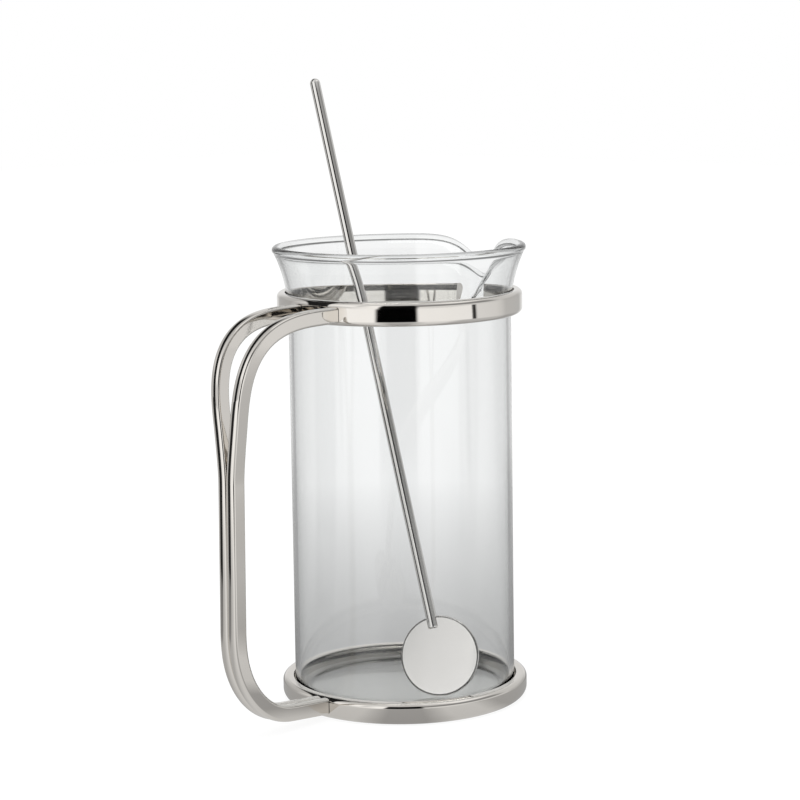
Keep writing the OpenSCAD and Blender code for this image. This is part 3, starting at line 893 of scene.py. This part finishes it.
def sweep_floor():
    """White sweep: white to the camera, a grey pool of painted shade round the foot to the glass, and the
    studio's light and dark sides to the metal, with painted shade near the foot."""
    mat, tree, out = new_material("white_sweep")
    coords = put(tree, "ShaderNodeTexCoord").outputs["Object"]
    far = worked_out(tree, "ShaderNodeVectorMath", "LENGTH", coords).outputs["Value"]
    span = worked_out(tree, "ShaderNodeMath", "DIVIDE", far, FLOOR_SPAN).outputs[0]
    share = round_share(tree, coords)

    behind = blend(tree, far, *BEHIND_START, 1.0, tones_round(tree, share, BEHIND_TONES))
    shown = worked_out(tree, "ShaderNodeVectorMath", "MULTIPLY", ramp(tree, span, SHADE_POOL_TONES), behind)

    # the floor as the metal mirrors it, painted darker near the foot
    near = worked_out(tree, "ShaderNodeVectorMath", "MULTIPLY", ramp(tree, span, NEAR_SHADE_FADE),
                      tones_round(tree, share, NEAR_TONES))
    lit = blend(tree, far, *SIDES_START, near.outputs[0], tones_round(tree, share, LOW_TONES))
    patch = worked_out(tree, "ShaderNodeMath", "MULTIPLY", ramp(tree, span, PATCH_START),
                       tones_round(tree, share, PATCH_SIDE))
    mirrored = blend(tree, patch.outputs[0], 0.0, 1.0, lit, PATCH_TONE)

    rays = put(tree, "ShaderNodeLightPath")
    diffuse = put(tree, "ShaderNodeBsdfDiffuse", Color=FLOOR_COLOUR)
    white = put(tree, "ShaderNodeEmission", Strength=WHITE_STRENGTH)
    # the floor as the glass shows it, with its painted pool of shade round the foot
    shade_pool = put(tree, "ShaderNodeEmission", Color=shown.outputs[0], Strength=STUDIO_STRENGTH).outputs[0]
    bands = put(tree, "ShaderNodeEmission", Color=mirrored, Strength=STUDIO_STRENGTH).outputs[0]
    direct = tree.nodes.new("ShaderNodeAddShader")
    tree.links.new(diffuse.outputs[0], direct.inputs[0])
    tree.links.new(white.outputs[0], direct.inputs[1])
    through = mixed_shaders(tree, rays.outputs["Is Transmission Ray"], bands, shade_pool)
    indirect = mixed_shaders(tree, was_mirrored(tree, rays), through, bands)
    whole = mixed_shaders(tree, rays.outputs["Is Camera Ray"], indirect, direct.outputs[0])
    tree.links.new(whole, out.inputs["Surface"])

    mesh = bpy.data.meshes.new("sweep")
    corners = [(x * SWEEP_HALF, y * SWEEP_HALF, 0) for x, y in ((-1, -1), (1, -1), (1, 1), (-1, 1))]
    mesh.from_pydata(corners, [], [(0, 1, 2, 3)])
    mesh.materials.append(mat)
    floor = bpy.data.objects.new("sweep", mesh)
    scene.collection.objects.link(floor)


sweep_floor()


def surroundings():
    """White studio: the camera and the glass see it white, and the metal its dark openings and grey walls."""
    world = bpy.data.worlds.new("studio")
    scene.world = world
    world.use_nodes = True
    tree = world.node_tree
    tree.nodes.clear()
    out = tree.nodes.new("ShaderNodeOutputWorld")
    coords = put(tree, "ShaderNodeTexCoord").outputs["Generated"]
    parts = put(tree, "ShaderNodeSeparateXYZ", Vector=coords)
    up = parts.outputs["Z"]
    share = round_share(tree, coords)
    low, high, top = (tones_round(tree, share, tones) for tones in (MID_TONES, HIGH_TONES, TOP_TONES))
    lit = blend(tree, up, *TOP_START, blend(tree, up, *HIGH_START, low, high), top)
    strip = blend(tree, parts.outputs["X"], *STRIP_END, ramp(tree, parts.outputs["Y"], STRIP_TONES), 1.0)
    walls = worked_out(tree, "ShaderNodeVectorMath", "MULTIPLY", lit, strip)
    behind = blend(tree, up, *DIM_START, tones_round(tree, share, BEHIND_TONES), DIM_TONE)

    rays = put(tree, "ShaderNodeLightPath")
    plain = put(tree, "ShaderNodeBackground", Color=(1, 1, 1, 1), Strength=1.0).outputs[0]
    through = put(tree, "ShaderNodeBackground", Color=behind, Strength=1.0).outputs[0]
    seen = put(tree, "ShaderNodeBackground", Color=walls.outputs[0], Strength=STUDIO_STRENGTH).outputs[0]
    clear = mixed_shaders(tree, rays.outputs["Is Transmission Ray"], plain, through)
    whole = mixed_shaders(tree, was_mirrored(tree, rays), clear, seen)
    tree.links.new(whole, out.inputs["Surface"])


surroundings()


LAMP_AIM = (0, 0, 0.12)


def lamp(name, place, size, power):
    """A soft square lamp aimed at the middle of the pitcher."""
    data = bpy.data.lights.new(name, "AREA")
    data.shape = "SQUARE"
    data.size = size
    data.energy = power
    made = bpy.data.objects.new(name, data)
    made.location = place
    made.visible_glossy = False
    made.rotation_euler = (Vector(LAMP_AIM) - Vector(place)).to_track_quat("-Z", "Y").to_euler()
    scene.collection.objects.link(made)


lamp("overhead_lamp", place=(-0.3, -0.1, 1.5), size=0.9, power=6.0)


PICTURE_WIDTH = 800
FOCAL_PIXELS = 2368
SENSOR_WIDTH = 36
CAMERA_SHIFT = -0.075
CAMERA_PLACE = (-0.8379, -0.7597, 0.3181)
CAMERA_HEADING = -47.8
CAMERA_DOWN = 0.1268
CAMERA_ROLL = -0.0147


def camera():
    """At the photograph's height, distance and slight roll."""
    data = bpy.data.cameras.new("camera")
    data.sensor_width = SENSOR_WIDTH
    data.lens = FOCAL_PIXELS / PICTURE_WIDTH * SENSOR_WIDTH
    data.shift_y = CAMERA_SHIFT
    made = bpy.data.objects.new("camera", data)
    turn = (Matrix.Rotation(math.radians(CAMERA_HEADING), 4, "Z")
            @ Matrix.Rotation(math.pi / 2 - CAMERA_DOWN, 4, "X")
            @ Matrix.Rotation(CAMERA_ROLL, 4, "Z"))
    made.matrix_world = Matrix.Translation(CAMERA_PLACE) @ turn
    scene.collection.objects.link(made)
    scene.camera = made


camera()
